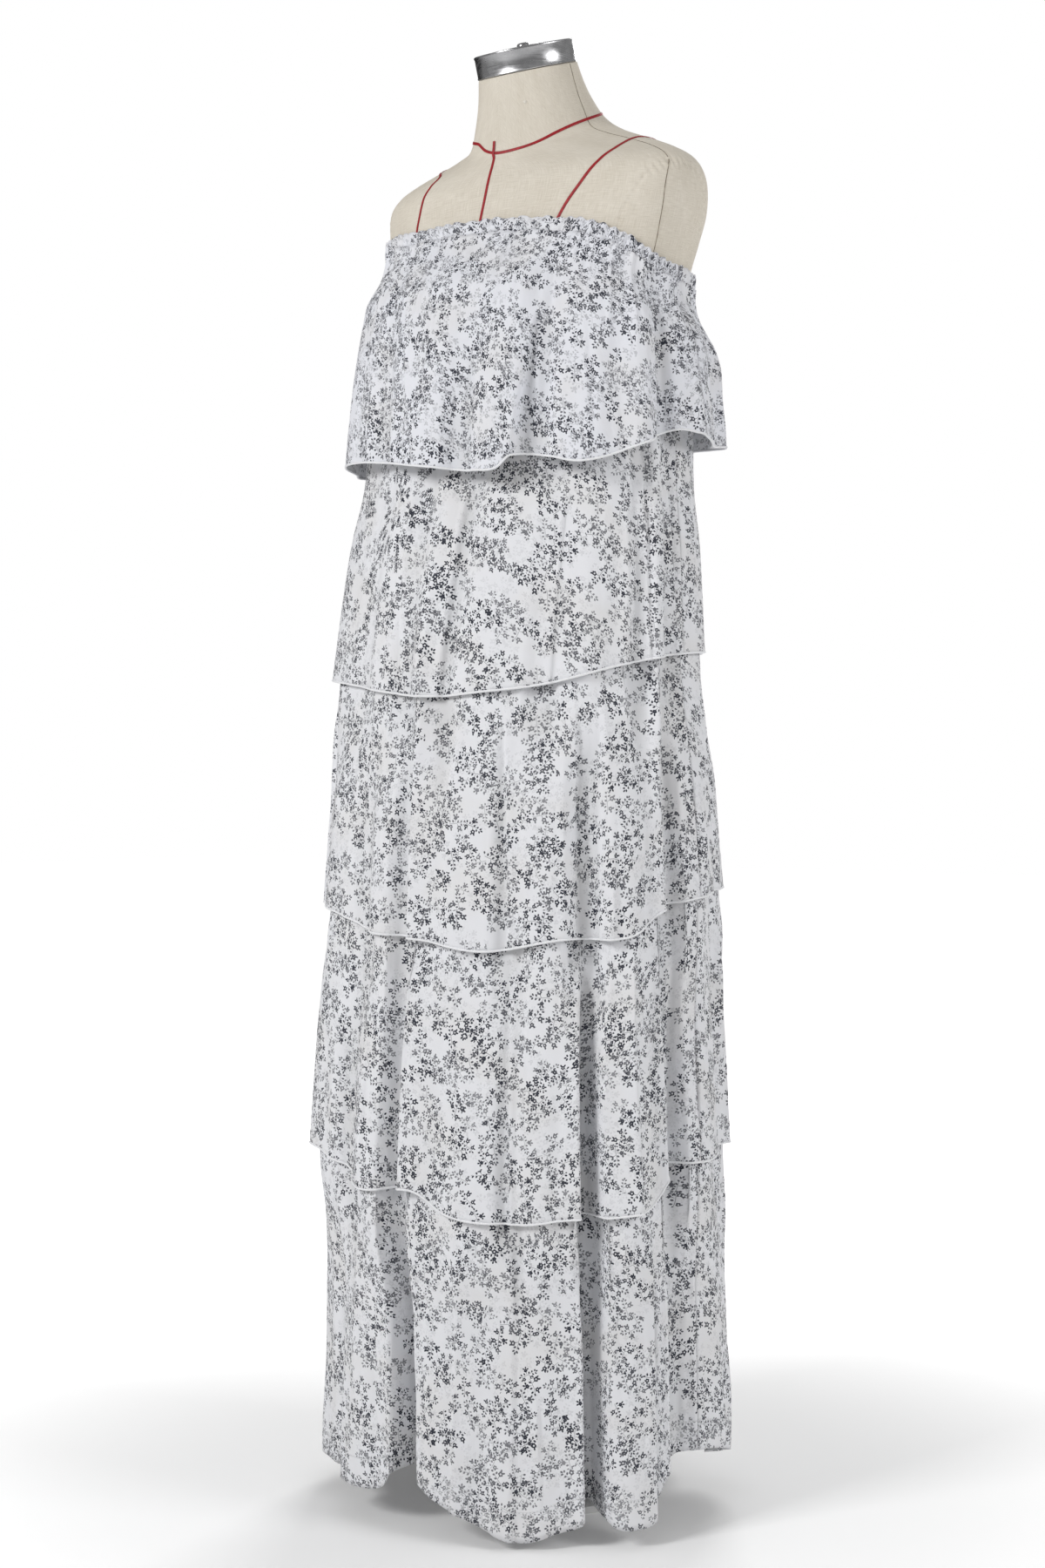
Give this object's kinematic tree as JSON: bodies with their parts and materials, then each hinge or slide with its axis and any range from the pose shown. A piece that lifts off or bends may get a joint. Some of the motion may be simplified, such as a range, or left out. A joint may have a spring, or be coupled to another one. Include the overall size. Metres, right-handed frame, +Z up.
{
  "type": "strapless tiered maxi dress on dress form",
  "caption": "Strapless full length dress of overlapping gathered tiers with an elastic neckline, resting on a linen covered limbless dress form with a neck cap, pole and round base plate.",
  "frame": {"origin": "centre of the base plate's underside, on the floor", "axes": "+Z up along the pole, the dress's front looks to -Y, its left side is +X"},
  "size_m": [0.4188, 0.3702, 1.423],
  "materials": {
    "chiffon": "sheer white chiffon with a small dark sprig print",
    "linen": "beige linen cover",
    "red_tape": "narrow woven style tape",
    "steel": "polished band",
    "white_paint": "satin white paint"
  },
  "bodies": {
    "root": {"neck_casing_front": "chiffon", "neck_casing_back": "chiffon", "tier_1_front": "chiffon", "tier_1_back": "chiffon", "tier_2_front": "chiffon", "tier_2_back": "chiffon", "tier_3_front": "chiffon", "tier_3_back": "chiffon", "tier_4_front": "chiffon", "tier_4_back": "chiffon", "tier_5_front": "chiffon", "tier_5_back": "chiffon", "torso": "linen", "neck_cap": "steel", "neck_tape": "red_tape", "centre_front_tape": "red_tape", "centre_back_tape": "red_tape", "princess_tape_left": "red_tape", "princess_tape_right": "red_tape", "pole": "steel", "base_plate": "white_paint"}
  },
  "joints": []
}
